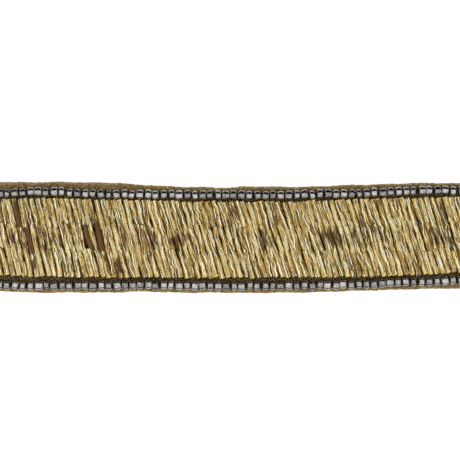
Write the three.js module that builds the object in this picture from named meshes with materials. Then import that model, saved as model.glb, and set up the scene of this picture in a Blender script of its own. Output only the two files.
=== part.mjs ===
// Beaded trim: a cut length of woven tape that carries two strung rows of seed beads
// and, between them, a field of slanted bugle beads laid in three ranks.
// Millimetres. +X runs along the trim, +Y across it, +Z up from the flat underside.
// The origin is the middle of the underside.

import * as THREE from "three";

// Trim
const trimLength = 160;
const restGap = 0.3;
const stationStep = 4;

// Tape
const tapeThickness = 1.0;
const marginRise = 0.16;
const marginWidth = 1.9;
const edgeRound = 0.3;
const edgeWaist = 0.4;
const edgeWander = 0.12;
const edgeWanderFade = 10;
const edgeWaves = { long: 0.53, short: 1.31, shortShare: 0.6, topPhase: 0, bottomPhase: 1.7 };

// Seed beads, strung along the trim
const seedDiameter = 3.0;
const seedPitch = 2.557;
const seedCount = 62;
const seedWaist = 1.5;
const seedSides = 8;
const seedLengths = { mean: 2.02, slowSwing: 0.22, slowTurn: 2.4, quickSwing: 0.12, quickTurn: 5.3 };
const seedShoulder = 0.42;

// Bugle beads, three end to end in each slanted line
const bugleDiameter = 1.75;
const buglePitch = 1.94;
const rankCount = 3;
const rankNames = ["upper", "middle", "lower"];
const bugleShoulder = 0.62;
const bugleShoulderHeight = 0.82;
const bugleValleyHeight = 0.4;

// The courses of the trim, read across it at places along it: the tape's two edges,
// the middles of the seed rows, the two ends of the bugle lines, and the lines' slant,
// which is how far along the trim they run for each millimetre across it.
const courseColumns = [
  "x", "tapeTop", "seedUpper", "bugleTop", "bugleBottom", "seedLower", "tapeBottom", "slant",
];
const courseRows = [
  [-80, 18.15, 14.4, 12.6, -12.45, -15.5, -17.5, 0.21],
  [-60, 18.15, 15.0, 12.8, -12.9, -15.65, -18.15, 0.225],
  [-38, 18.0, 14.25, 12.2, -13.1, -15.55, -18.0, 0.255],
  [-30, 17.15, 14.2, 12.15, -13.1, -15.55, -17.8, 0.265],
  [-10, 16.5, 13.9, 11.8, -13.25, -15.65, -18.15, 0.28],
  [-1, 16.2, 13.9, 11.8, -13.25, -15.7, -18.15, 0.28],
  [5, 16.85, 13.9, 11.8, -13.25, -15.75, -18.15, 0.285],
  [20, 16.5, 14.0, 11.85, -13.1, -15.7, -18.15, 0.295],
  [40, 17.15, 14.35, 12.5, -12.95, -15.35, -17.6, 0.305],
  [60, 17.8, 15.25, 12.95, -12.4, -14.5, -16.95, 0.3],
  [80, 17.8, 15.6, 13.5, -11.1, -13.75, -16.7, 0.295],
];

const colours = {
  tape: 0x776544,
  seed: 0x9a979b,
  bugle: 0xb39a5e,
};

const beadFloor = tapeThickness + restGap;
const nameColumns = (row) => Object.fromEntries(row.map((value, at) => [courseColumns[at], value]));
const courses = courseRows.map(nameColumns);

// A course's value at x, eased from one row of the table to the next.
function courseAt(name, x) {
  const last = courses.length - 1;
  const after = courses.findIndex((row) => row.x > x);
  const high = after < 0 ? last : Math.max(after, 1);
  const from = courses[high - 1];
  const to = courses[high];
  const share = THREE.MathUtils.clamp((x - from.x) / (to.x - from.x), 0, 1);
  const eased = share * share * (3 - 2 * share);
  return from[name] + (to[name] - from[name]) * eased;
}

// A small unevenness for the tape's edges, none at the cut ends.
function wander(x, phase) {
  const fade = Math.min(1, (trimLength / 2 - Math.abs(x)) / edgeWanderFade);
  const longWave = Math.sin(edgeWaves.long * x + phase);
  const shortWave = edgeWaves.shortShare * Math.sin(edgeWaves.short * x + 2 * phase);
  return edgeWander * (fade * (longWave + shortWave) - 1);
}

// A closed body through sections that all have the same number of points,
// fill holds the triangles that close each end, wound the way a section's points run.
function loft(sections, fill) {
  const around = sections[0].length;
  const positions = sections.flat().flatMap((point) => point.toArray());
  const faces = [];
  for (let s = 0; s < sections.length - 1; s += 1) {
    for (let p = 0; p < around; p += 1) {
      const next = (p + 1) % around;
      const a = s * around + p;
      const b = s * around + next;
      faces.push(a, b, a + around, b, b + around, a + around);
    }
  }
  const lastStart = (sections.length - 1) * around;
  for (const [a, b, c] of fill) {
    faces.push(a, c, b, a + lastStart, b + lastStart, c + lastStart);
  }
  const body = new THREE.BufferGeometry();
  body.setAttribute("position", new THREE.Float32BufferAttribute(positions, 3));
  body.setIndex(faces);
  return body;
}

// The triangles that close a convex section of this many points.
function fanFill(count) {
  return Array.from({ length: count - 2 }, (_, at) => [0, at + 1, at + 2]);
}

// The tape: flat below, with a soft raised margin and a rounded edge along each side.
function tapeGeometry() {
  const steps = Math.round(trimLength / stationStep);
  const sections = [];
  for (let s = 0; s <= steps; s += 1) {
    const x = -trimLength / 2 + s * stationStep;
    const top = courseAt("tapeTop", x) + wander(x, edgeWaves.topPhase);
    const bottom = courseAt("tapeBottom", x) - wander(x, edgeWaves.bottomPhase);
    sections.push(tapeSection(bottom, top).map(([y, z]) => new THREE.Vector3(x, y, z)));
  }
  return loft(sections, tapeFill);
}

// The tape's section from its lower edge to its upper one and back over the top.
function tapeSection(bottom, top) {
  const crown = tapeThickness + marginRise;
  const waist = edgeWaist * crown;
  return [
    [bottom + edgeRound, 0],
    [top - edgeRound, 0],
    [top, waist],
    [top - 0.5 * edgeRound, crown - edgeRound],
    [top - 2 * edgeRound, crown],
    [top - marginWidth, tapeThickness],
    [bottom + marginWidth, tapeThickness],
    [bottom + 2 * edgeRound, crown],
    [bottom + 0.5 * edgeRound, crown - edgeRound],
    [bottom, waist],
  ];
}

// The triangles that close a cut end of the tape: its middle, its upper margin and its lower one.
const tapeFill = [
  [0, 1, 5], [0, 5, 6],
  [1, 2, 3], [1, 3, 4], [1, 4, 5],
  [0, 6, 7], [0, 7, 8], [0, 8, 9],
];

// The length of one seed bead along its string: no two neighbours alike.
function seedLength(index) {
  const slow = seedLengths.slowSwing * Math.sin(seedLengths.slowTurn * index);
  const quick = seedLengths.quickSwing * Math.sin(seedLengths.quickTurn * index + 1);
  return seedLengths.mean + slow + quick;
}

// One strung row: a round bar drawn in to a waist between one bead and the next.
function seedRowGeometry(course) {
  const height = beadFloor + seedDiameter / 2;
  const outer = seedDiameter / 2 / Math.cos(Math.PI / seedSides);
  const sections = [];
  const addRing = (x, radius) => {
    const y = courseAt(course, x);
    const ring = [];
    for (let side = 0; side < seedSides; side += 1) {
      const angle = (2 * Math.PI * (side + 0.5)) / seedSides;
      ring.push(new THREE.Vector3(x, y + radius * Math.cos(angle), height + radius * Math.sin(angle)));
    }
    sections.push(ring);
  };
  for (let bead = 0; bead < seedCount; bead += 1) {
    const middle = (bead - (seedCount - 1) / 2) * seedPitch;
    const shoulder = seedShoulder * seedLength(bead);
    addRing(middle - seedPitch / 2, seedWaist / 2);
    addRing(middle - shoulder, outer);
    addRing(middle + shoulder, outer);
  }
  addRing((seedCount / 2) * seedPitch, seedWaist / 2);
  return loft(sections, fanFill(seedSides));
}

// A point of the bugle field: the line crosses the field's middle at x = line,
// and share runs from 0 at the field's top to 1 at its bottom.
function fieldPoint(line, share, inset, z) {
  const height = courseAt("bugleTop", line) - courseAt("bugleBottom", line);
  const x = line + (share - 0.5) * height * courseAt("slant", line);
  const top = courseAt("bugleTop", x);
  const bottom = courseAt("bugleBottom", x);
  return new THREE.Vector3(x, top + (bottom - top) * share + inset, z);
}

// The lines whose bugle in this rank fits between the two cut ends.
function rankLines(rank) {
  const reach = trimLength / 2 - restGap;
  const most = Math.floor(reach / buglePitch) + rankCount;
  const lines = Array.from({ length: 2 * most + 1 }, (_, at) => (at - most) * buglePitch);
  const placeOf = (line, end) => Math.abs(fieldPoint(line, end / rankCount, 0, 0).x);
  const fits = (line) => placeOf(line, rank) <= reach && placeOf(line, rank + 1) <= reach;
  return lines.filter((line) => fits(line - buglePitch / 2) && fits(line + buglePitch / 2));
}

// One rank: a slab with a ridge for each bugle, its two ends on the courses of the lines.
function rankGeometry(rank) {
  const lines = rankLines(rank);
  const profile = rankProfile(lines);
  const sections = [0, 1].map((end) => {
    const inset = (end === 0 ? -restGap : restGap) / 2;
    return profile.map(([line, z]) => fieldPoint(line, (rank + end) / rankCount, inset, z));
  });
  return loft(sections, rankFill(lines.length));
}

// The triangles that close a rank's end: one fan for each bugle, from the foot of its left valley.
function rankFill(bugles) {
  const pointsPerBugle = 4;
  const triangles = [];
  for (let bugle = 0; bugle < bugles; bugle += 1) {
    const rightValley = bugles + 1 + pointsPerBugle * (bugles - 1 - bugle);
    triangles.push([bugle, bugle + 1, rightValley]);
    for (let at = 0; at < pointsPerBugle; at += 1) {
      triangles.push([bugle, rightValley + at, rightValley + at + 1]);
    }
  }
  return triangles;
}

// The section of a rank: along its flat underside, then back over the ridges.
function rankProfile(lines) {
  const half = buglePitch / 2;
  const height = (share) => beadFloor + share * bugleDiameter;
  const valleys = [...lines.map((x) => x - half), lines.at(-1) + half];
  const profile = valleys.map((x) => [x, beadFloor]);
  for (const x of [...lines].reverse()) {
    profile.push([x + half, height(bugleValleyHeight)]);
    profile.push([x + bugleShoulder * half, height(bugleShoulderHeight)]);
    profile.push([x, height(1)]);
    profile.push([x - bugleShoulder * half, height(bugleShoulderHeight)]);
  }
  profile.push([valleys[0], height(bugleValleyHeight)]);
  return profile;
}

function addPiece(group, name, geometry, colour, roughness, metalness) {
  const material = new THREE.MeshStandardMaterial({ color: colour, roughness, metalness });
  const piece = new THREE.Mesh(geometry, material);
  piece.name = name;
  group.add(piece);
}

const trim = new THREE.Group();
addPiece(trim, "backing_tape", tapeGeometry(), colours.tape, 0.95, 0);
addPiece(trim, "seed_row_upper", seedRowGeometry("seedUpper"), colours.seed, 0.2, 0.6);
addPiece(trim, "seed_row_lower", seedRowGeometry("seedLower"), colours.seed, 0.2, 0.6);
rankNames.forEach((name, rank) => {
  addPiece(trim, `bugle_rank_${name}`, rankGeometry(rank), colours.bugle, 0.25, 0.5);
});

export default trim;
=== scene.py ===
import math
import random
from types import SimpleNamespace
import bmesh
import bpy
from mathutils import Matrix, Vector


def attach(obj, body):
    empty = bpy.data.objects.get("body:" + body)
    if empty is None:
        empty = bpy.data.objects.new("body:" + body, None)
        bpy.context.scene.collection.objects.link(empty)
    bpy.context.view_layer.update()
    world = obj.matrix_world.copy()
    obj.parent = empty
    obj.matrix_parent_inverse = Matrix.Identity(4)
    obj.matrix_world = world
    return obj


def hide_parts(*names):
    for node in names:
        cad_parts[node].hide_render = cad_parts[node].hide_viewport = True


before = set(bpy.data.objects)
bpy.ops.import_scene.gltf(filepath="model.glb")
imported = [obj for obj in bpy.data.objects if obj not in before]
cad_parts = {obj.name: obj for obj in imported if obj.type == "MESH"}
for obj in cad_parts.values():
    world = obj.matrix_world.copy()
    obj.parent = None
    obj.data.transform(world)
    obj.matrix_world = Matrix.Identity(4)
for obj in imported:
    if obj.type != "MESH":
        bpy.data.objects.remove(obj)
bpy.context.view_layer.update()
mm = 0.001
print("frame loaded")


def srgb(red, green, blue):
    # a colour as it looks on a screen, 0 to 255, made linear
    def linear(value):
        share = value / 255
        return share / 12.92 if share <= 0.04045 else ((share + 0.055) / 1.055) ** 2.4
    return (linear(red), linear(green), linear(blue), 1.0)


def linked(name, data):
    # an object in the scene with this mesh, light or camera
    piece = bpy.data.objects.new(name, data)
    bpy.context.scene.collection.objects.link(piece)
    return piece


def storeNumbers(mesh, name, numbers):
    # one number for each of the mesh's points, for a material or a tree to read
    mesh.attributes.new(name, "FLOAT", "POINT").data.foreach_set("value", numbers)


class Wire:
    # one output of a node tree, arithmetic on it adds Math nodes
    def __init__(self, graph, socket):
        self.graph = graph
        self.socket = socket

    def math(self, operation, *others):
        return self.graph.node("ShaderNodeMath", {"operation": operation}, [self, *others])

    def __add__(self, other):
        return self.math("ADD", other)

    def __sub__(self, other):
        return self.math("SUBTRACT", other)

    def __mul__(self, other):
        return self.math("MULTIPLY", other)

    def __truediv__(self, other):
        return self.math("DIVIDE", other)

    def __rsub__(self, other):
        return self.math("MULTIPLY", -1.0) + other

    __radd__ = __add__
    __rmul__ = __mul__

    def __abs__(self):
        return self.math("ABSOLUTE")

    def fit(self, low, high, toLow=0.0, toHigh=1.0):
        # eases from toLow to toHigh while the value goes from low to high
        return self.graph.node(
            "ShaderNodeMapRange",
            {"interpolation_type": "SMOOTHSTEP"},
            {"Value": self, "From Min": low, "From Max": high, "To Min": toLow, "To Max": toHigh},
        )


class Graph:
    # adds nodes to a shader tree or a geometry tree
    def __init__(self, tree):
        self.tree = tree

    def node(self, kind, settings=None, inputs=None, output=0):
        made = self.tree.nodes.new(kind)
        for name, value in (settings or {}).items():
            if name == "stops":
                self.setStops(made.color_ramp, value)
            else:
                setattr(made, name, value)
        pairs = enumerate(inputs) if isinstance(inputs, list) else (inputs or {}).items()
        for key, value in pairs:
            if isinstance(value, Wire):
                self.tree.links.new(value.socket, made.inputs[key])
            elif value is not None:
                made.inputs[key].default_value = value
        return Wire(self, made.outputs[output])

    def setStops(self, ramp, stops):
        while len(ramp.elements) < len(stops):
            ramp.elements.new(1.0)
        for element, (place, colour) in zip(ramp.elements, stops):
            element.position = place
            element.color = colour

    def ramp(self, factor, stops):
        return self.node("ShaderNodeValToRGB", {"stops": stops}, {"Fac": factor})

    def mixColour(self, factor, first, second, blend="MIX"):
        settings = {"data_type": "RGBA", "blend_type": blend}
        return self.node("ShaderNodeMix", settings, {0: factor, 6: first, 7: second}, 2)

    def vector(self, operation, *inputs):
        return self.node("ShaderNodeVectorMath", {"operation": operation}, list(inputs))

    def scale(self, vector, factor):
        return self.node("ShaderNodeVectorMath", {"operation": "SCALE"}, {0: vector, "Scale": factor})

    def combine(self, x, y, z):
        return self.node("ShaderNodeCombineXYZ", None, [x, y, z])

    def split(self, vector):
        return [self.node("ShaderNodeSeparateXYZ", None, [vector], at) for at in range(3)]

    def attribute(self, name, output="Fac"):
        return self.node("ShaderNodeAttribute", {"attribute_name": name}, None, output)

    def objectPlace(self):
        return self.node("ShaderNodeTexCoord", None, None, "Object")

    def noise(self, vector, scale, detail=2.0, rough=0.5, warp=0.0):
        inputs = {"Vector": vector, "Scale": scale, "Detail": detail, "Roughness": rough, "Distortion": warp}
        return self.node("ShaderNodeTexNoise", None, inputs)

    def bump(self, height, distance, strength=1.0):
        inputs = {"Height": height, "Distance": distance, "Strength": strength}
        return self.node("ShaderNodeBump", None, inputs)

    # geometry trees only: a stored value, storing one, and moving a geometry's points
    def named(self, name, kind="FLOAT"):
        return self.node("GeometryNodeInputNamedAttribute", {"data_type": kind}, {"Name": name})

    def mark(self, geometry, name, value, kind="FLOAT", domain="POINT"):
        inputs = {"Geometry": geometry, "Name": name, "Value": value}
        settings = {"data_type": kind, "domain": domain}
        return self.node("GeometryNodeStoreNamedAttribute", settings, inputs)

    def move(self, geometry, offset):
        return self.node("GeometryNodeSetPosition", None, {"Geometry": geometry, "Offset": offset})


def newMaterial(name, **values):
    # a material with its Principled shader, values are set on the shader's own sockets
    material = bpy.data.materials.new(name)
    material.use_nodes = True
    graph = Graph(material.node_tree)
    shader = material.node_tree.nodes["Principled BSDF"]
    for key, value in values.items():
        shader.inputs[key.replace("_", " ")].default_value = value

    def feed(**wires):
        for key, wire in wires.items():
            material.node_tree.links.new(wire.socket, shader.inputs[key.replace("_", " ")])
    return material, graph, feed


tapeLook = {
    "yarnPitch": 0.45 * mm,
    "relief": 0.2 * mm,
    "dark": srgb(72, 54, 28),
    "middle": srgb(136, 112, 74),
    "light": srgb(216, 180, 120),
    "shadedBand": srgb(58, 48, 34),
    "bandFleck": srgb(206, 174, 114),
    "roughness": 0.95,
}


def tapeCloth():
    look = tapeLook
    material, graph, feed = newMaterial("tapeCloth", Roughness=look["roughness"], Specular_IOR_Level=0.15)
    place = graph.objectPlace()
    x, y = graph.split(place)[:2]
    # a plain weave: in each cell of the checker the yarn of one or the other direction lies on top
    turn = math.pi / look["yarnPitch"]
    warpWave, weftWave = (x * turn).math("SINE"), (y * turn).math("SINE")
    warp, weft = abs(warpWave), abs(weftWave)
    over = (warpWave * weftWave).fit(-0.1, 0.1)
    yarns = warp * (0.5 + weft * 0.5) * over + weft * (0.5 + warp * 0.5) * (1 - over)
    fluff = graph.noise(place, 2300, 4, 0.75)
    hairs = graph.noise(graph.vector("MULTIPLY", place, (1100, 4200, 2600)), 1.0, 3, 0.7, 0.6)
    strands = graph.noise(graph.vector("MULTIPLY", place, (16000, 7000, 9000)), 1.0, 2, 0.6)
    blotch = graph.noise(place, 420, 3, 0.6)
    # the raised nap lies along the trim on the upper side only
    upper = graph.attribute("bandDepth").fit(-16, -8)
    hairs = (hairs - 0.5) * upper + 0.5
    shade = (fluff - 0.5) * 1.7 + (hairs - 0.5) * 1.2 + (blotch - 0.5) * 0.5
    shade = shade + (yarns - 0.5) * 0.34 + (strands - 0.5) * 0.5 + 0.5
    cloth = graph.ramp(shade, [(0.16, look["dark"]), (0.48, look["middle"]), (0.84, look["light"])])
    # inside the seed rows the cloth is painted dark: painted shade under and between the beads, and the dark
    # of the thread, with pale fibre flecks
    depth = graph.attribute("bandDepth") + (blotch - 0.5) * 0.5 + (fluff - 0.5) * 0.5
    shadedBand = graph.mixColour(hairs.fit(0.5, 0.66), look["shadedBand"], look["bandFleck"])
    colour = graph.mixColour(depth.fit(0.35, 0.65), cloth, shadedBand)
    height = yarns * 0.7 + fluff * 0.6 + hairs * 0.3 + strands * 0.15
    feed(Base_Color=colour, Normal=graph.bump(height, look["relief"]))
    return material


seedLook = {
    "half": 1.05 * mm,
    "steel": srgb(178, 175, 172),
    "smoke": srgb(104, 101, 98),
    "pearl": srgb(223, 221, 218),
    "tarnish": srgb(58, 51, 45),
    "edge": srgb(130, 126, 122),
    "holeShade": srgb(40, 36, 34),
    "relief": 0.04 * mm,
    "roughness": 0.09,
}


def seedGlass():
    look = seedLook
    material, graph, feed = newMaterial("seedGlass")
    place = graph.attribute("beadPlace", "Vector")
    chance = graph.attribute("beadChance")
    along = graph.split(place)[2]
    start = graph.combine(chance * 0.7, chance * 0.3, chance * 0.5)
    moved = graph.vector("ADD", place, start)
    cloud = graph.noise(moved, 1500, 3, 0.65)
    speck = graph.noise(moved, 2600, 2, 0.5)
    tone = (chance - 0.5) * 0.5 + (cloud - 0.5) * 1.9 + 0.5
    body = graph.ramp(tone, [(0.05, look["smoke"]), (0.5, look["steel"]), (0.95, look["pearl"])])
    body = graph.mixColour(speck.fit(0.6, 0.68) * 0.6, body, look["tarnish"])
    # the plating is matt and greyer towards both ends where the bead turns in to its hole, and in the hole
    # it is painted dark with shade
    toEnd = abs(along) / look["half"]
    edge = (toEnd + (cloud - 0.5) * 0.3).fit(0.68, 0.86)
    colour = graph.mixColour(edge, body, look["edge"])
    colour = graph.mixColour(toEnd.fit(0.86, 0.98), colour, look["holeShade"])
    roughness = cloud.fit(0.3, 0.7, look["roughness"] * 0.6, look["roughness"] * 1.6) + edge * 0.35
    normal = graph.bump(cloud + speck * 0.4, look["relief"], 0.6)
    feed(Base_Color=colour, Roughness=roughness, Metallic=1 - edge * 0.6, Normal=normal)
    return material


bugleLook = {
    "radius": 0.9 * mm,
    "half": 4.16 * mm,
    "creases": 0.8,
    "tone": 0.425,
    "tipAt": 12.5 * mm,
    "tip": srgb(240, 200, 84),
    # gap: painted shade where beads lie against each other and beside the creases
    "shadeBrown": srgb(44, 27, 5),
    "amber": srgb(150, 114, 22),
    "side": srgb(204, 163, 58),
    "gold": srgb(177, 150, 76),
    "pale": srgb(213, 192, 126),
    "cream": srgb(243, 232, 184),
    "glint": srgb(255, 249, 218),
    "grey": srgb(168, 151, 113),
    # glow and spark: painted light given off by the glass at its sides and its highlights
    "glow": srgb(66, 50, 8),
    "spark": srgb(92, 88, 66),
    "worn": srgb(116, 88, 46),
    "wornDark": srgb(64, 40, 16),
    "rust": srgb(100, 56, 24),
    "relief": 0.2 * mm,
    "roughness": 0.26,
}


def bugleFields(graph, look):
    # where on its bead and its line a place lies, and three noises that follow the lining there
    at = SimpleNamespace()
    at.chance = graph.attribute("beadChance")
    at.line = graph.attribute("lineChance")
    place = graph.attribute("beadPlace", "Vector")
    up, at.side, at.ownAlong = graph.split(place)
    at.along = at.ownAlong + graph.attribute("lineAlong")
    at.across = at.side / look["radius"]
    # the crushed silver lining runs on through the beads of a line and wanders from side to side
    at.slope = (at.line * 7).math("FRACT") - 0.5
    wander = graph.noise(graph.combine(at.along * 330, at.line * 91, 0.0), 1.0, 2, 0.6) - 0.5
    at.lining = at.across + wander * 1.7 + at.along * at.slope * 120
    start = graph.combine(at.line * 31, at.line * 57, at.line * 83)
    lengthwise = graph.combine(up / look["radius"] * 0.8, at.lining, at.along * 100)
    wide = graph.vector("MULTIPLY", lengthwise, (1, 1.5, 2.4))
    narrow = graph.vector("MULTIPLY", lengthwise, (1, 2.9, 1.7))
    at.broad = graph.noise(graph.vector("ADD", wide, start), 1.0, 2, 0.55)
    at.fibre = graph.noise(graph.vector("ADD", narrow, start), 1.0, 2, 0.5)
    at.grain = graph.noise(graph.vector("ADD", place, start), 2500, 2, 0.65)
    return at


def bugleCreases(graph, look, at):
    # painted highlights: thin bright creases wander along the lining, each with a dark line of painted shade
    # beside it
    crease = (at.lining * look["creases"] + at.line * 13).math("FRACT")
    shown = graph.noise(graph.combine(at.along * 210, at.line * 23, at.across * 0.9), 1.0, 1, 0.5)
    glint = abs(crease - 0.5).fit(0.17, 0.06) * shown.fit(0.5, 0.57)
    creaseShade = abs(crease - 0.74).fit(0.17, 0.06) * shown.fit(0.44, 0.54)
    return glint, creaseShade


def bugleLining(graph, look, at, creaseShade):
    # gold of every shade along the lining, greyer in places and painted dark with shade beside each crease
    tone = (at.broad - 0.5) * 1.2 + (at.fibre - 0.5) * 2.9 + (at.grain - 0.5) * 1.3
    tone = tone + (at.chance - 0.5) * 0.16 + look["tone"]
    stops = [(0.02, look["shadeBrown"]), (0.18, look["amber"]), (0.38, look["gold"])]
    stops += [(0.6, look["pale"]), (0.9, look["cream"])]
    lined = graph.ramp(tone, stops)
    lined = graph.mixColour(at.broad.fit(0.52, 0.66) * 0.4, lined, look["grey"])
    return graph.mixColour(creaseShade * 0.9, lined, look["shadeBrown"])


def bugleSides(graph, look, at):
    # at its sides a bead shows its amber glass, painted brighter as if lit through it, and is painted dark
    # with shade where it lies against its neighbour
    sideShading = graph.noise(graph.combine(at.along * 300, at.side.math("SIGN") * 7, at.line * 61), 1.0, 2, 0.6)
    sideShading = sideShading - at.across * 0.04
    sides = graph.ramp(sideShading, [(0.4, look["shadeBrown"]), (0.48, look["amber"]), (0.62, look["side"])])
    rim = (abs(at.across) + (at.fibre - 0.5) * 0.5).fit(0.64, 0.86)
    return sides, rim, rim * sideShading.fit(0.4, 0.6)


def bugleWear(graph, look, at, creaseShade):
    # worn beads have lost their lining over part of their length and show brown glass
    patch = graph.noise(graph.vector("MULTIPLY", graph.objectPlace(), (420, 170, 0)), 1.0, 3, 0.6)
    amount = graph.attribute("beadWorn")
    ends = (abs(at.ownAlong) / look["half"]).fit(0.25, 1.0) * amount.fit(0.85, 0.6) * 0.45
    streaks = (0.52 - at.fibre) * amount.fit(0.6, 0.85, 2.4, 0.8)
    worn = (amount * 1.52 - patch - ends + streaks).fit(0.12, 0.4)
    dull = graph.ramp(at.fibre * 0.7 + at.grain * 0.3, [(0.34, look["wornDark"]), (0.62, look["worn"])])
    rusty = (at.line * 5).math("FRACT").fit(0.5, 0.8) * at.fibre.fit(0.35, 0.6)
    dull = graph.mixColour(rusty * 0.6, dull, look["rust"])
    # the creases' painted shade shows faintly on the brown glass too
    return worn, graph.mixColour(creaseShade * 0.5, dull, look["wornDark"])


def bugleGlass():
    look = bugleLook
    uniform = {"Metallic": 0.6, "Coat_Roughness": 0.06, "Emission_Strength": 1.0}
    material, graph, feed = newMaterial("bugleGlass", **uniform)
    at = bugleFields(graph, look)
    glint, creaseShade = bugleCreases(graph, look, at)
    sides, rim, lit = bugleSides(graph, look, at)
    worn, dull = bugleWear(graph, look, at, creaseShade)
    colour = graph.mixColour(rim * 0.95, bugleLining(graph, look, at, creaseShade), sides)
    # the painted highlights along the creases
    colour = graph.mixColour(glint * 0.9, colour, look["glint"])
    # at the outer ends of a line the cut glass catches a yellow light
    tip = (abs(at.along) / look["tipAt"]).fit(0.955, 0.985) * at.slope.fit(-0.1, 0.2)
    colour = graph.mixColour(tip * 0.6, colour, look["tip"])
    colour = graph.mixColour(worn, colour, dull)
    # painted glow: the glass is made to give off a little light at its amber sides and its painted
    # highlights, as if lit through, but not where its lining is gone
    bare = 1 - worn
    glow = graph.mixColour(lit * bare, (0, 0, 0, 1), look["glow"])
    glow = graph.mixColour(glint * bare, glow, look["spark"])
    roughness = at.broad.fit(0.3, 0.7, look["roughness"] * 0.6, look["roughness"] * 1.6)
    normal = graph.bump(at.broad * 0.4 + at.fibre * 0.4 + at.grain * 0.2, look["relief"], 0.9)
    feed(Base_Color=colour, Roughness=roughness, Coat_Weight=0.7 - worn * 0.66)
    feed(Emission_Color=glow, Normal=normal)
    return material


# plyAround, plyAlong: how far the plies' wave turns once round the thread and in a metre of it
threadLook = {
    "deep": srgb(24, 19, 12),
    "brown": srgb(74, 62, 44),
    "fluff": srgb(222, 194, 140),
    "shadedBy": 0.16,
    "plyAround": 12.57,
    "plyAlong": 9000,
    "relief": 0.1 * mm,
    "roughness": 0.75,
}


def darkThread():
    look = threadLook
    material, graph, feed = newMaterial("darkThread", Roughness=look["roughness"], Specular_IOR_Level=0.3)
    place = graph.objectPlace()
    fluff = graph.noise(place, 3200, 3, 0.7)
    # painted shade on the threads that lie between and under the seeds
    tone = fluff - graph.attribute("threadDark") * look["shadedBy"]
    colour = graph.ramp(tone, [(0.38, look["deep"]), (0.5, look["brown"]), (0.64, look["fluff"])])
    # the plies show as ridges that wind round the thread
    around = graph.attribute("threadRound") * look["plyAround"]
    plies = (graph.attribute("threadAlong") * look["plyAlong"] + around).math("SINE")
    feed(Base_Color=colour, Normal=graph.bump(fluff + plies * 0.3, look["relief"]))
    return material


fibreLook = {
    "dark": srgb(92, 72, 42),
    "middle": srgb(158, 132, 90),
    "light": srgb(206, 182, 138),
    "roughness": 0.9,
}


def paleFibre():
    look = fibreLook
    material, graph, feed = newMaterial("paleFibre", Roughness=look["roughness"], Specular_IOR_Level=0.2)
    shade = graph.attribute("beadChance")
    feed(Base_Color=graph.ramp(shade, [(0.1, look["dark"]), (0.5, look["middle"]), (0.95, look["light"])]))
    return material


def meshObject(name, corners, faces, values=None):
    # a smooth mesh whose faces all point outwards
    mesh = bpy.data.meshes.new(name)
    mesh.from_pydata(corners, [], faces)
    for key, numbers in (values or {}).items():
        storeNumbers(mesh, key, numbers)
    made = bmesh.new()
    made.from_mesh(mesh)
    bmesh.ops.remove_doubles(made, verts=made.verts, dist=1e-8)
    bmesh.ops.recalc_face_normals(made, faces=made.faces)
    made.to_mesh(mesh)
    made.free()
    mesh.shade_smooth()
    return linked(name, mesh)


def beadProfile(size):
    # a bead cut along its hole, as places along it and out from it: belly, rounded ends, bore
    half = size["length"] / 2
    flat = half - size["shoulder"]
    inner = size["diameter"] / 2 - size["depth"]
    profile = []
    for row in range(size["rows"] + 1):
        share = 2 * row / size["rows"] - 1
        belly = size["belly"] * (1 - share * share)
        profile.append((flat * share, size["diameter"] / 2 - size["belly"] + belly))
    if size["hold"]:
        profile.insert(1, (size["hold"] - flat, profile[0][1]))
        profile.insert(-1, (flat - size["hold"], profile[0][1]))
    for step in range(1, size["turns"] + 1):
        angle = 0.5 * math.pi * step / size["turns"]
        out = inner - size["belly"] + size["depth"] * math.cos(angle)
        profile.append((flat + size["shoulder"] * math.sin(angle), out))
        profile.insert(0, (-flat - size["shoulder"] * math.sin(angle), out))
    mouth = half * size["mouth"]
    return profile + [(mouth, size["bore"] / 2), (-mouth, size["bore"] / 2)]


def beadShape(name, size):
    # a pierced bead round its own Z axis, the middle of its hole at the origin
    profile = beadProfile(size)
    corners, faces = [], []
    count = len(profile)
    total = count * size["sides"]
    for side in range(size["sides"]):
        angle = 2 * math.pi * side / size["sides"]
        toX, toY = math.cos(angle), math.sin(angle)
        squared = (abs(toX) ** size["square"] + abs(toY) ** size["square"]) ** (-1 / size["square"])
        for along, out in profile:
            corners.append((out * squared * toX, out * squared * toY, along))
        for at in range(count):
            a, b = side * count + at, side * count + (at + 1) % count
            faces.append((a, b, (b + count) % total, (a + count) % total))
    return meshObject(name, corners, faces)


def startTree(name, inputs):
    # an empty geometry tree with these inputs, and the way to take one of them by its name
    tree = bpy.data.node_groups.new(name, "GeometryNodeTree")
    for label, kind in {"Geometry": "Geometry", **inputs, "Material": "Material"}.items():
        tree.interface.new_socket(label, in_out="INPUT", socket_type="NodeSocket" + kind)
    tree.interface.new_socket("Geometry", in_out="OUTPUT", socket_type="NodeSocketGeometry")
    graph = Graph(tree)
    given = tree.nodes.new("NodeGroupInput")

    def take(label):
        return Wire(graph, given.outputs[label])
    return graph, take


def endTree(graph, take, geometry):
    # the tree's last steps: everything made real, with its finish on
    real = graph.node("GeometryNodeRealizeInstances", None, {"Geometry": geometry})
    inputs = {"Geometry": real, "Material": take("Material")}
    finished = graph.node("GeometryNodeSetMaterial", None, inputs)
    result = graph.tree.nodes.new("NodeGroupOutput")
    graph.tree.links.new(finished.socket, result.inputs["Geometry"])
    return graph.tree


# the bead tree's sizes, and the name under which a piece's dictionary may give each of them
beadInputs = {
    "Shape Length": "length",
    "Girth Spread": "girthSpread",
    "Length Spread": "lengthSpread",
    "Sway": "sway",
    "Shift": "shift",
    "Crinkle": "crinkle",
    "Crinkle Scale": "crinkleScale",
    "Bend": "bend",
}
# how fast a bend changes along the trim, across it and from line to line
bendScale = (90, 170, 1.3)


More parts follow.
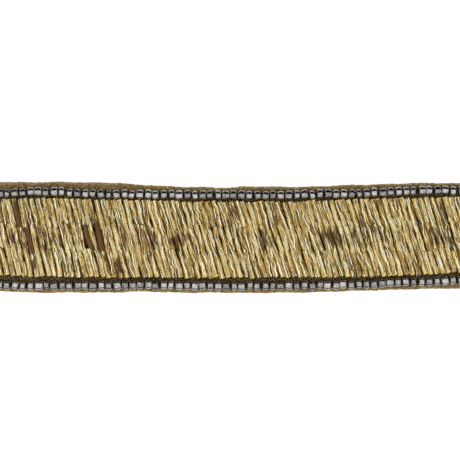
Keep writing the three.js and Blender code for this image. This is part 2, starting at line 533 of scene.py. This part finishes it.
def beadTurn(graph, sway):
    # a bead's hole along its point's axis and one side of it up, and then a little sway
    def aligned(settings, inputs):
        return graph.node("FunctionNodeAlignRotationToVector", settings, inputs)

    aimed = aligned({"axis": "Z"}, {"Vector": graph.named("axis", "FLOAT_VECTOR")})
    upright = aligned({"axis": "X", "pivot_axis": "Z"}, {"Rotation": aimed, "Vector": (0, 0, 1)})
    tilt = graph.node("FunctionNodeEulerToRotation", None, [sway])
    inputs = {"Rotation": upright, "Rotate By": tilt}
    return graph.node("FunctionNodeRotateRotation", {"rotation_space": "LOCAL"}, inputs)


def unevenBeads(graph, take, beads):
    # dents push each bead's surface in and out, a bend moves it along the trim
    own = graph.named("beadChance")
    start = graph.combine(own * 71, own * 37, own * 53)
    dent = graph.scale(graph.named("beadPlace", "FLOAT_VECTOR"), take("Crinkle Scale"))
    push = (graph.noise(graph.vector("ADD", dent, start), 1.0, 1.0) - 0.5) * take("Crinkle")
    dented = graph.move(beads, graph.scale(graph.node("GeometryNodeInputNormal"), push))
    x, y = graph.split(graph.node("GeometryNodeInputPosition"))[:2]
    line = graph.named("lineChance")
    stray = graph.combine(x * bendScale[0], y * bendScale[1], line * bendScale[2])
    bend = (graph.noise(stray, 1.0, 1.0) - 0.5) * take("Bend")
    return graph.move(dented, graph.combine(bend, 0.0, 0.0))


def stringTree():
    # sets a copy of one shape on every point, turned to the point's axis and stretched to its span
    sizes = dict.fromkeys(beadInputs, "Float")
    graph, take = startTree("stringBeads", {"Shape": "Object", **sizes, "Seed": "Int"})

    def chance(offset):
        inputs = {2: -1.0, 3: 1.0, "Seed": take("Seed") + offset}
        return graph.node("FunctionNodeRandomValue", {"data_type": "FLOAT"}, inputs, 1)

    def chanceVector(reach, offset):
        inputs = {0: [-value for value in reach], 1: reach, "Seed": take("Seed") + offset}
        return graph.node("FunctionNodeRandomValue", {"data_type": "FLOAT_VECTOR"}, inputs, 0)

    settings = {"transform_space": "ORIGINAL"}
    shape = graph.node("GeometryNodeObjectInfo", settings, {"Object": take("Shape")}, "Geometry")
    shape = graph.mark(shape, "beadPlace", graph.node("GeometryNodeInputPosition"), "FLOAT_VECTOR")
    points = graph.move(take("Geometry"), graph.scale(chanceVector((1, 1, 0.3), 11), take("Shift")))
    turned = beadTurn(graph, graph.scale(chanceVector((1, 1, 0), 23), take("Sway")))
    girth = 1 + take("Girth Spread") * chance(37)
    length = graph.named("span") / take("Shape Length") * (1 + take("Length Spread") * chance(41))
    inputs = {"Points": points, "Instance": shape, "Rotation": turned}
    inputs["Scale"] = graph.combine(girth, girth, length)
    strung = graph.node("GeometryNodeInstanceOnPoints", None, inputs)
    dyed = graph.mark(strung, "beadChance", chance(53) * 0.5 + 0.5, domain="INSTANCE")
    real = graph.node("GeometryNodeRealizeInstances", None, {"Geometry": dyed})
    return endTree(graph, take, unevenBeads(graph, take, real))


def threadTree():
    # a round thread along every edge path of a mesh
    graph, take = startTree("layThread", {
        "Radius": "Float",
        "Sides": "Int",
        "Wobble": "Float",
        "Wobble Scale": "Float",
    })
    noise = {"Vector": graph.node("GeometryNodeInputPosition"), "Scale": take("Wobble Scale"), "Detail": 1.0}
    stray = graph.node("ShaderNodeTexNoise", None, noise, "Color")
    wobble = graph.scale(graph.vector("SUBTRACT", stray, (0.5, 0.5, 0.5)), take("Wobble"))
    curve = graph.node("GeometryNodeMeshToCurve", None, {"Mesh": graph.move(take("Geometry"), wobble)})
    along = graph.node("GeometryNodeSplineParameter", None, None, "Length")
    curve = graph.mark(curve, "threadAlong", along)
    inputs = {"Resolution": take("Sides"), "Radius": take("Radius")}
    ring = graph.node("GeometryNodeCurvePrimitiveCircle", None, inputs)
    around = graph.node("GeometryNodeSplineParameter", None, None, "Factor")
    ring = graph.mark(ring, "threadRound", around)
    inputs = {"Curve": curve, "Profile Curve": ring, "Fill Caps": True}
    return endTree(graph, take, graph.node("GeometryNodeCurveToMesh", None, inputs))


def bake(piece, tree, values):
    # runs a geometry tree on a piece and keeps the result as its plain mesh
    modifier = piece.modifiers.new("build", "NODES")
    modifier.node_group = tree
    sockets = {item.name: item.identifier for item in tree.interface.items_tree if item.in_out == "INPUT"}
    for name, value in values.items():
        modifier[sockets[name]] = value
    graph = bpy.context.evaluated_depsgraph_get()
    mesh = bpy.data.meshes.new_from_object(piece.evaluated_get(graph))
    piece.modifiers.remove(modifier)
    old = piece.data
    piece.data = mesh
    mesh.name = piece.name
    mesh.shade_smooth()
    bpy.data.meshes.remove(old)
    return piece


def pointCloud(name, seats, extra=()):
    # a mesh of loose points, each with the axis and span of what goes there
    mesh = bpy.data.meshes.new(name)
    mesh.from_pydata([seat["place"] for seat in seats], [], [])
    axis = mesh.attributes.new("axis", "FLOAT_VECTOR", "POINT")
    axis.data.foreach_set("vector", [value for seat in seats for value in seat["axis"]])
    for key in ("span", *extra):
        storeNumbers(mesh, key, [seat[key] for seat in seats])
    return linked(name, mesh)


def strungPiece(name, seats, shape, size, seed, finish, extra=()):
    # one piece with a copy of the shape on every seat, after which the shape itself goes
    piece = pointCloud(name, seats, extra)
    values = {label: size.get(key, 0.0) for label, key in beadInputs.items()}
    bake(piece, stringBeads, {"Shape": shape, **values, "Seed": seed, "Material": finish})
    bpy.data.objects.remove(shape)
    return piece


def finishPiece(piece, slot, *nodes):
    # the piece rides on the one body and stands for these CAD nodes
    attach(piece, "root")
    if nodes:
        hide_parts(*nodes)


def cornersOf(node):
    # each corner of a CAD node once
    seen = {}
    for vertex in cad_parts[node].data.vertices:
        seen.setdefault(tuple(round(value / mm, 2) for value in vertex.co), vertex.co.copy())
    return list(seen.values())


def stationsOf(node, apart=0.02 * mm):
    # the corners of a CAD node in groups that share a place along the trim
    groups = []
    for corner in sorted(cornersOf(node), key=lambda point: point.x):
        if groups and corner.x - groups[-1][-1].x < apart:
            groups[-1].append(corner)
        else:
            groups.append([corner])
    return groups


def middleOf(group):
    # the middle of the box round a group of corners
    low = Vector([min(point[axis] for point in group) for axis in range(3)])
    high = Vector([max(point[axis] for point in group) for axis in range(3)])
    return (low + high) / 2


stringBeads = stringTree()
layThread = threadTree()
print("materials and trees ready")

# Seed beads: one string along each margin, each bead between two shoulders of the CAD row
# hold: how far from its ends a bead has one more ring, square: 2 is round and more is squarer
seedBead = {
    "diameter": 3.08 * mm,
    "length": 2.1 * mm,
    "bore": 1.0 * mm,
    "mouth": 0.96,
    "shoulder": 0.56 * mm,
    "depth": 0.48 * mm,
    "belly": 0.1 * mm,
    "hold": 0.0,
    "rows": 2,
    "turns": 3,
    "sides": 14,
    "square": 2.0,
    "shoulderShare": 0.81,
    "girthSpread": 0.05,
    "lengthSpread": 0.15,
    "sway": 0.13,
    "shift": 0.2 * mm,
    "askewShare": 0.35,
    "askew": 0.26,
    "crinkle": 0.07 * mm,
    "crinkleScale": 700.0,
    "seed": 5,
}


def seedSeats(node):
    # rings run waist, shoulder, shoulder, waist along the row
    rings = [middleOf(group) for group in stationsOf(node)]
    seats = []
    for at in range(1, len(rings) - 1, 3):
        left, right = rings[at], rings[at + 1]
        span = (right.x - left.x) / seedBead["shoulderShare"]
        seats.append({"place": (left + right) / 2, "axis": (right - left).normalized(), "span": span})
    return seats


def seedRow(name, node, seed):
    # some seeds sit askew on the string and show the rim of their hole
    size = seedBead
    rng = random.Random(seed)
    seats = seedSeats(node)
    for seat in seats:
        if rng.random() < size["askewShare"]:
            turn = rng.uniform(-1, 1) * size["askew"]
            seat["axis"] = Matrix.Rotation(turn, 3, "Z") @ seat["axis"]
    row = strungPiece(name, seats, beadShape("seedShape", size), size, seed, seedFinish)
    finishPiece(row, "seed_glass", node)


seedFinish = seedGlass()
seedRow("seeds_upper", "seed_row_upper", seedBead["seed"])
seedRow("seeds_lower", "seed_row_lower", seedBead["seed"] + 1)
print("seed rows strung")

# Bugle beads: three ranks, each bead under one ridge of the CAD rank
bugleBead = {
    "diameter": 1.75 * mm,
    "length": 8.33 * mm,
    "bore": 0.75 * mm,
    "mouth": 0.96,
    "shoulder": 0.06 * mm,
    "depth": 0.1 * mm,
    "belly": 0.0,
    "hold": 0.15 * mm,
    "rows": 4,
    "turns": 1,
    "sides": 10,
    "square": 2.5,
    "widen": 1.1,
    "crestWithin": 0.02 * mm,
    "rankWithin": 6 * mm,
    "jointWithin": 1 * mm,
    "girthSpread": 0.05,
    "overlap": (0.04 * mm, 0.32 * mm),
    "jointSpread": 1.1 * mm,
    "endSpread": 0.25 * mm,
    "endReach": {"upper": 0.25 * mm, "lower": 0.12 * mm},
    "sameLining": 0.7,
    "sway": 0.034,
    "shift": 0.13 * mm,
    "crinkle": 0.3 * mm,
    "crinkleScale": 560.0,
    "bend": 1.3 * mm,
    "lineSeed": 11,
    "seed": 40,
}
rankNames = ("upper", "middle", "lower")
# beads that have lost their lining: place along the trim in mm and how much of it, 0 to 1
wornBugles = {
    "upper": [(-69.2, 0.7), (-43.9, 0.42), (0.7, 0.5), (24.0, 0.35), (61.0, 0.3), (69.5, 0.6)],
    "middle": [
        (-69.5, 0.55), (-64.9, 0.75), (-58.2, 0.5), (-47.1, 0.8), (-43.0, 1.0), (-12.8, 0.45), (-3.9, 0.45),
        (29.5, 0.55), (34.9, 0.66), (40.5, 0.5), (47.7, 0.56), (52.6, 0.5), (61.5, 0.42), (65.9, 0.6),
    ],
    "lower": [(-63.4, 0.5), (-37.0, 0.6), (-10.0, 0.25)],
}
# stretches of the middle rank where most beads are browned: place, half its width in mm, how much
wornPatches = [
    (-71.0, 2.4, 0.54), (-58.5, 1.6, 0.5), (-27.3, 2.2, 0.58), (-17.5, 3.4, 0.57), (3.0, 1.6, 0.5),
    (11.0, 3.0, 0.55), (33.4, 4.2, 0.54), (51.5, 1.6, 0.5), (60.5, 1.8, 0.5), (67.6, 2.4, 0.55),
]


def bugleLines(rng):
    # for each rank its beads with head and foot, read from the two ends of each ridge's crest
    size = bugleBead
    lines = {}
    for rank in rankNames:
        corners = cornersOf("bugle_rank_" + rank)
        crest = max(corner.z for corner in corners)
        ridge = [corner for corner in corners if corner.z > crest - size["crestWithin"]]
        ridge.sort(key=lambda point: point.x)
        middle = {}
        for point in ridge:
            near = [other.y for other in ridge if abs(other.x - point.x) < size["rankWithin"]]
            middle[point.to_tuple()] = sum(near) / len(near)
        heads = [point for point in ridge if point.y > middle[point.to_tuple()]]
        feet = [point for point in ridge if point.y <= middle[point.to_tuple()]]
        pairs = zip(heads, feet)
        lines[rank] = [{"head": head, "foot": foot, "chance": rng.random()} for head, foot in pairs]
    return lines


def joinLines(lines, rng):
    # where two beads of a line meet, their joint moves a little along the line, each to another place
    size = bugleBead
    for above, below in zip(rankNames, rankNames[1:]):
        for bead in lines[above]:
            follower = min(lines[below], key=lambda other: (other["head"] - bead["foot"]).length)
            if (follower["head"] - bead["foot"]).length > size["jointWithin"]:
                continue
            way = (bead["head"] - bead["foot"]).normalized()
            joint = (bead["foot"] + follower["head"]) / 2 + way * rng.uniform(-1, 1) * size["jointSpread"]
            overlap = way * rng.uniform(*size["overlap"])
            bead["foot"] = joint - overlap / 2
            follower["head"] = joint + overlap / 2
            if rng.random() < size["sameLining"]:
                follower["chance"] = bead["chance"]
    for rank, end, side in ((rankNames[0], "head", 1), (rankNames[-1], "foot", -1)):
        for bead in lines[rank]:
            way = (bead["head"] - bead["foot"]).normalized() * side
            bead[end] = bead[end] + way * (rng.uniform(-1, 0.6) * size["endSpread"] + size["endReach"][rank])


def bugleSeats(rank, beads):
    # half a bead's thickness below the crest lies its axis
    seats = []
    drop = Vector((0, 0, bugleBead["diameter"] / 2))
    for bead in beads:
        run = bead["head"] - bead["foot"]
        seats.append({
            "place": (bead["head"] + bead["foot"]) / 2 - drop,
            "axis": run.normalized(),
            "span": run.length,
            "beadWorn": 0.0,
            "lineChance": bead["chance"],
            "lineAlong": bugleBead["length"] * (1 - rankNames.index(rank)),
        })
    if rank == "middle":
        for seat in seats:
            for along, reach, amount in wornPatches:
                if abs(seat["place"].x - along * mm) < reach * mm:
                    seat["beadWorn"] = amount
    for along, amount in wornBugles[rank]:
        nearest = min(seats, key=lambda seat: abs(seat["place"].x - along * mm))
        nearest["beadWorn"] = amount
    return seats


def bugleRank(rank, beads, seed):
    # one rank of bugles, each a little wider than it is thick
    size = bugleBead
    shape = beadShape("bugleShape", size)
    shape.data.transform(Matrix.Diagonal((1, size["widen"], 1, 1)))
    seats = bugleSeats(rank, beads)
    extra = ["beadWorn", "lineChance", "lineAlong"]
    row = strungPiece("bugles_" + rank, seats, shape, size, seed, bugleFinish, extra)
    finishPiece(row, "bugle_glass", "bugle_rank_" + rank)


bugleFinish = bugleGlass()
rng = random.Random(bugleBead["lineSeed"])
lines = bugleLines(rng)
joinLines(lines, rng)
for order, rank in enumerate(rankNames):
    bugleRank(rank, lines[rank], bugleBead["seed"] + order)
print("bugle ranks laid")

# Backing tape: a closed sheet lofted along the CAD tape's two edges
# rim: the rounded edge, as mm inwards and height as a share of the tape's highest
# underDepth: what bandDepth, the mm inside the seed rows, says on the underside
tapeSize = {
    "thickness": 1.0 * mm,
    "rise": 0.16 * mm,
    "margin": 1.9 * mm,
    "inset": 0.3 * mm,
    "rim": ((0.08, 0.25), (0.0, 0.45), (0.03, 0.65), (0.12, 0.85)),
    "rimDrop": 0.06 * mm,
    "step": 0.5 * mm,
    "fine": 0.3 * mm,
    "fineReach": 7.2 * mm,
    "coarse": 8,
    "edgeRagged": 0.12 * mm,
    "edgeReach": 0.14 * mm,
    "faceRagged": 0.06 * mm,
    "bandReach": 1.3 * mm,
    "underDepth": -20.0,
    "flat": (0.16, 0.0355),
}


def tapeEdges():
    # low and high edge of the CAD tape at each of its stations
    stations = stationsOf("backing_tape")
    return [(group[0].x, min(p.y for p in group), max(p.y for p in group)) for group in stations]


def eased(table, x, column):
    # a column's value at x, between the two rows of the table that x lies between
    for left, right in zip(table, table[1:]):
        if x <= right[0]:
            share = max(0.0, (x - left[0]) / (right[0] - left[0]))
            return left[column] + (right[column] - left[column]) * share
    return table[-1][column]


def ragged(x, phase):
    # small unevenness from a few waves that never fall in step
    waves = ((1.9, 0.45), (4.3, 0.3), (9.7, 0.25))
    return sum(share * math.sin(turns * x / mm + phase * turns) for turns, share in waves)


def tapeAcross(low, high):
    # places across the upper face from the high edge to the low one, close together near both
    size = tapeSize
    steps = round(size["fineReach"] / size["fine"])
    depths = [size["inset"] + size["fine"] * at for at in range(steps)]
    first, last = high - depths[-1], low + depths[-1]
    across = [high - depth for depth in depths]
    across += [first + (last - first) * at / size["coarse"] for at in range(1, size["coarse"])]
    return across + [low + depth for depth in reversed(depths)]


def tapeHeight(x, y, depth):
    # the upper face: a soft raised margin near each edge, and a little uneven all over
    size = tapeSize
    inset = size["inset"]
    dip = min(1.0, max(0.0, (depth - 2 * inset) / (size["margin"] - 2 * inset)))
    z = size["thickness"] + size["rise"] - size["rise"] * dip * dip * (3 - 2 * dip)
    z -= size["rimDrop"] * max(0.0, 1 - (depth - inset) / inset)
    return z + size["faceRagged"] * ragged(x, 3 + 5 * y / mm) * ragged(y, 7 + x / mm)


def tapeSection(x, low, high):
    # the tape cut across: its underside, the high edge, the upper face and the low edge
    size = tapeSize
    inset = size["inset"]
    crown = size["thickness"] + size["rise"]
    section = [(low + inset, 0.0), ((low + high) / 2, 0.0), (high - inset, 0.0)]
    section += [(high - inward * mm, lift * crown) for inward, lift in size["rim"]]
    section += [(y, tapeHeight(x, y, min(high - y, y - low))) for y in tapeAcross(low, high)]
    section += [(low + inward * mm, lift * crown) for inward, lift in reversed(size["rim"])]
    return section


def tapeSheet():
    size = tapeSize
    edges = tapeEdges()
    rows = {}
    for rank in ("upper", "lower"):
        rows[rank] = [seat["place"].xy for seat in seedSeats("seed_row_" + rank)]
    start, end = edges[0][0], edges[-1][0]
    steps = round((end - start) / size["step"])
    corners, faces, depths = [], [], []
    for step in range(steps + 1):
        x = start + (end - start) * step / steps
        low = eased(edges, x, 1) + size["edgeRagged"] * ragged(x, 1) - size["edgeReach"]
        high = eased(edges, x, 2) - size["edgeRagged"] * ragged(x, 2) + size["edgeReach"]
        seedHigh, seedLow = eased(rows["upper"], x, 1), eased(rows["lower"], x, 1)
        section = tapeSection(x, low, high)
        corners += [(x, y, z) for y, z in section]
        for y, z in section:
            inside = min(seedHigh - y, y - seedLow) + size["bandReach"]
            depths.append(inside / mm if z > size["thickness"] / 2 else size["underDepth"])
    count = len(section)
    for step in range(steps):
        for at in range(count):
            a, b = step * count + at, step * count + (at + 1) % count
            faces.append((a, b, b + count, a + count))
    faces.append(tuple(range(count)))
    faces.append(tuple(steps * count + at for at in reversed(range(count))))
    sheet = meshObject("tape", corners, faces, {"bandDepth": depths})
    sheet.data.set_sharp_from_angle(angle=math.radians(60))
    return sheet


tape = tapeSheet()
tape.data.materials.append(tapeCloth())
finishPiece(tape, "tape", "backing_tape")
print("tape woven")

# Thread: a string through each seed row, and the dark stitches that hold all the beads down
# loop: a thread's way out of a bugle, as mm outwards and how far it has come down to the tape
threadSize = {
    "string": 0.5 * mm,
    "stitch": 0.32 * mm,
    "sides": 6,
    "wobble": 0.3 * mm,
    "wobbleScale": 700.0,
    "foot": 0.9 * mm,
    "archReach": 0.95 * mm,
    "archLean": 0.15 * mm,
    "archSteps": 8,
    "archPower": 0.6,
    "loop": ((-0.5, 0.0), (0.1, 0.0), (0.3, 0.12), (0.45, 0.4), (0.55, 0.75), (0.6, 1.05)),
    "loopReach": (0.8, 1.5),
    "loopLean": 0.4 * mm,
    "rowStep": 0.7 * mm,
    "rowWander": 0.12 * mm,
    "rowLift": 0.3 * mm,
    "bandRows": (0.35 * mm, 0.75 * mm, 1.15 * mm),
    "footRow": {"upper": 1.5 * mm, "lower": 1.2 * mm},
    "seed": 3,
}


def layThreads(name, paths, thickness, wobble=0.0, dark=0):
    # one piece of threads along these paths, the first few painted darker with the shade they lie in between
    # and under the seeds
    corners, edges, shades = [], [], []
    for order, path in enumerate(paths):
        edges += [(len(corners) + at, len(corners) + at + 1) for at in range(len(path) - 1)]
        corners += path
        shades += [float(order < dark)] * len(path)
    mesh = bpy.data.meshes.new(name)
    mesh.from_pydata(corners, edges, [])
    storeNumbers(mesh, "threadDark", shades)
    piece = linked(name, mesh)
    bake(piece, layThread, {
        "Radius": thickness / 2,
        "Sides": threadSize["sides"],
        "Wobble": wobble,
        "Wobble Scale": threadSize["wobbleScale"],
        "Material": threadFinish,
    })
    finishPiece(piece, "thread")


def couching(seats, rng):
    # a stitch over the string in each gap between two seeds
    size = threadSize
    top = seats[0]["place"].z + (size["string"] + size["stitch"]) / 2
    paths = []
    for left, right in zip(seats, seats[1:]):
        middle = (left["place"] + right["place"]) / 2
        lean = rng.uniform(-1, 1) * size["archLean"]
        path = []
        for at in range(size["archSteps"] + 1):
            turn = math.pi * at / size["archSteps"]
            lift = size["foot"] + (top - size["foot"]) * math.sin(turn) ** size["archPower"]
            x = middle.x + lean * math.cos(turn)
            path.append(Vector((x, middle.y + size["archReach"] * math.cos(turn), lift)))
        paths.append(path)
    return paths


def endLoops(ends, outward, rng):
    # where the thread leaves a bugle's hole and turns down into the tape
    size = threadSize
    paths = []
    for end in ends:
        axis = end.z - bugleBead["diameter"] / 2
        reach = rng.uniform(*size["loopReach"])
        lean = rng.uniform(-1, 1) * size["loopLean"]
        path = []
        for out, down in size["loop"]:
            x = end.x + lean * max(out, 0) * reach
            y = end.y + outward * out * reach * mm
            path.append(Vector((x, y, axis - down * (axis - size["foot"]))))
        paths.append(path)
    return paths


def bandRow(ends, outward, offset, rng):
    # a thread that runs along the trim on the tape, beside the ends of the bugles
    size = threadSize
    course = sorted((end.x, end.y) for end in ends)
    steps = int((course[-1][0] - course[0][0]) / size["rowStep"])
    path = []
    for step in range(steps):
        x = course[0][0] + step * size["rowStep"]
        y = eased(course, x, 1) + outward * (offset + rng.uniform(-1, 1) * size["rowWander"])
        path.append(Vector((x, y, tapeSize["thickness"] + rng.uniform(0, 1) * size["rowLift"])))
    return path


threadFinish = darkThread()
rng = random.Random(threadSize["seed"])
for rank, end, outward in (("upper", "head", 1), ("lower", "foot", -1)):
    seats = seedSeats("seed_row_" + rank)
    places = [seat["place"] for seat in seats]
    ends = [bead[end] for bead in lines[rank]]
    # the string and the couching stitches between the seeds take the painted shade
    layThreads("string_" + rank, [places], threadSize["string"], dark=1)
    couched = couching(seats, rng)
    stitches = couched + endLoops(ends, outward, rng)
    stitches += [bandRow(ends, outward, offset, rng) for offset in threadSize["bandRows"]]
    stitches += [bandRow(places, outward, threadSize["footRow"][rank], rng)]
    layThreads("stitches_" + rank, stitches, threadSize["stitch"], threadSize["wobble"], len(couched))
print("thread laid")

# Fuzz: short fibres that stand out of the tape's margins and edges
fuzz = {
    "thickness": 0.07 * mm,
    "length": 0.8 * mm,
    "bow": 0.16 * mm,
    "segments": 4,
    "endGap": 0.5 * mm,
    "girthSpread": 0.3,
    "sway": 0.2,
    "seed": 8,
}
# on each side the margin, the band and the edge: how many fibres, how far in from the tape's edge,
# at what height and how much higher by chance, how steep and how long
fuzzZones = (
    {
        "count": 1500,
        "inwards": (0.1 * mm, 2.0 * mm),
        "foot": tapeSize["thickness"] + tapeSize["rise"] * 0.9,
        "lift": None,
        "lean": (-0.1, 0.5),
        "lengths": (0.4 * mm, 1.3 * mm),
    },
    {
        "count": 900,
        "inwards": (2.0 * mm, 6.0 * mm),
        "foot": tapeSize["thickness"],
        "lift": (0.1 * mm, 0.4 * mm),
        "lean": (-0.2, 0.5),
        "lengths": (0.4 * mm, 1.3 * mm),
    },
    {
        "count": 700,
        "inwards": (0.0, -0.14 * mm),
        "foot": 0.0,
        "lift": (0.2 * mm, 1.0 * mm),
        "lean": (-0.3, 0.3),
        "lengths": (0.25 * mm, 0.6 * mm),
    },
)


def fibreShape():
    # a bowed three-sided fibre round its own Z axis, closed at both ends
    size = fuzz
    corners, faces = [], []
    for at in range(size["segments"] + 1):
        share = at / size["segments"]
        for side in range(3):
            angle = 2 * math.pi * side / 3
            out = size["thickness"] / 2 * (1 - 0.5 * share)
            bow = size["bow"] * 4 * share * (1 - share)
            along = (share - 0.5) * size["length"]
            corners.append((bow + out * math.cos(angle), out * math.sin(angle), along))
    for at in range(size["segments"]):
        for side in range(3):
            a, b = 3 * at + side, 3 * at + (side + 1) % 3
            faces.append((a, b, b + 3, a + 3))
    faces += [(2, 1, 0), (3 * size["segments"], 3 * size["segments"] + 1, 3 * size["segments"] + 2)]
    return meshObject("fibreShape", corners, faces)


def fuzzSeats():
    rng = random.Random(fuzz["seed"])
    edges = tapeEdges()
    reach = edges[-1][0] - fuzz["endGap"]
    seats = []

    def addFibre(zone, column, way):
        x = rng.uniform(-reach, reach)
        y = eased(edges, x, column) + way * rng.uniform(*zone["inwards"])
        z = zone["foot"] + (rng.uniform(*zone["lift"]) if zone["lift"] else 0.0)
        lean = rng.uniform(*zone["lean"])
        turn = rng.uniform(0, 2 * math.pi)
        axis = Vector((math.cos(turn), math.sin(turn), lean)).normalized()
        seats.append({"place": Vector((x, y, z)), "axis": axis, "span": rng.uniform(*zone["lengths"])})

    for column, way in ((2, -1), (1, 1)):
        for zone in fuzzZones:
            for _ in range(zone["count"]):
                addFibre(zone, column, way)
    return seats


fuzzPiece = strungPiece("fuzz", fuzzSeats(), fibreShape(), fuzz, fuzz["seed"], paleFibre())
finishPiece(fuzzPiece, "tape")
print("fuzz raised")

# Studio: white floor, even white light, and cards that only the beads' reflections see
studio = {
    "frameSpan": 150.42 * mm,
    "frameMiddle": (0.0, 2.45 * mm),
    "beadPlane": 3.0 * mm,
    "lens": 150,
    "sensor": 36,
    "world": 1.0,
    "floorReach": 3,
    "floorGlow": 0.4,
    "keyPlace": (-0.5, -0.6, 1.0),
    "keySize": (0.9, 0.9),
    "keyPower": 5.0,
    "cardReach": 0.4,
}
# each card: its two long edges as (y, z) in mm, and how bright it is
reflectedCards = {
    "northCard": ((31.0, 4.7), (31.0, 41.0), 0.02),
    "northGround": ((20.0, 0.3), (31.0, 0.3), 0.45),
    "northFoot": ((31.0, 0.3), (31.0, 4.7), 0.45),
    "southGround": ((-46.0, 0.3), (-19.0, 0.3), 0.75),
    "southCard": ((-46.0, 0.3), (-46.0, 15.0), 0.01),
}


def floor():
    sides = (-studio["floorReach"], studio["floorReach"])
    corners = [(x, y, 0.0) for x in sides for y in sides]
    piece = meshObject("floor", corners, [(0, 2, 3, 1)])
    paper = {"Roughness": 0.9, "Base_Color": (0.8, 0.8, 0.8, 1), "Specular_IOR_Level": 0.1}
    glow = {"Emission_Color": (1, 1, 1, 1), "Emission_Strength": studio["floorGlow"]}
    piece.data.materials.append(newMaterial("floorPaper", **paper, **glow)[0])


def areaLight(name, place, aim, size, power):
    data = bpy.data.lights.new(name, "AREA")
    data.shape = "RECTANGLE"
    data.size, data.size_y = size
    data.energy = power
    light = linked(name, data)
    light.location = place
    light.rotation_mode = "QUATERNION"
    light.rotation_quaternion = (Vector(aim) - Vector(place)).to_track_quat("-Z", "Y")
    light.visible_glossy = False


def reflectedCard(name, near, far, glow):
    reach = studio["cardReach"]
    corners = [(-reach, near[0] * mm, near[1] * mm), (reach, near[0] * mm, near[1] * mm)]
    corners += [(reach, far[0] * mm, far[1] * mm), (-reach, far[0] * mm, far[1] * mm)]
    card = meshObject(name, corners, [(0, 1, 2, 3)])
    black = {"Roughness": 1.0, "Base_Color": (0.003, 0.003, 0.003, 1), "Specular_IOR_Level": 0.0}
    shine = {"Emission_Color": (1, 1, 1, 1), "Emission_Strength": glow}
    card.data.materials.append(newMaterial(name, **black, **shine)[0])
    for kind in ("camera", "diffuse", "shadow", "transmission"):
        setattr(card, "visible_" + kind, False)


def whiteWorld():
    world = bpy.data.worlds.new("world")
    bpy.context.scene.world = world
    world.use_nodes = True
    background = world.node_tree.nodes["Background"]
    background.inputs["Color"].default_value = (1, 1, 1, 1)
    background.inputs["Strength"].default_value = studio["world"]


def overheadCamera():
    # straight above, as far off as makes the picture's width frameSpan at the beads
    data = bpy.data.cameras.new("camera")
    data.lens = studio["lens"]
    data.sensor_width = studio["sensor"]
    camera = linked("camera", data)
    distance = studio["frameSpan"] * studio["lens"] / studio["sensor"]
    camera.location = (*studio["frameMiddle"], studio["beadPlane"] + distance)
    bpy.context.scene.camera = camera


floor()
whiteWorld()
areaLight("key", studio["keyPlace"], (0, 0, 0), studio["keySize"], studio["keyPower"])
for name, (near, far, glow) in reflectedCards.items():
    reflectedCard(name, near, far, glow)
overheadCamera()
bpy.context.scene.view_settings.view_transform = "Standard"
print("studio set")
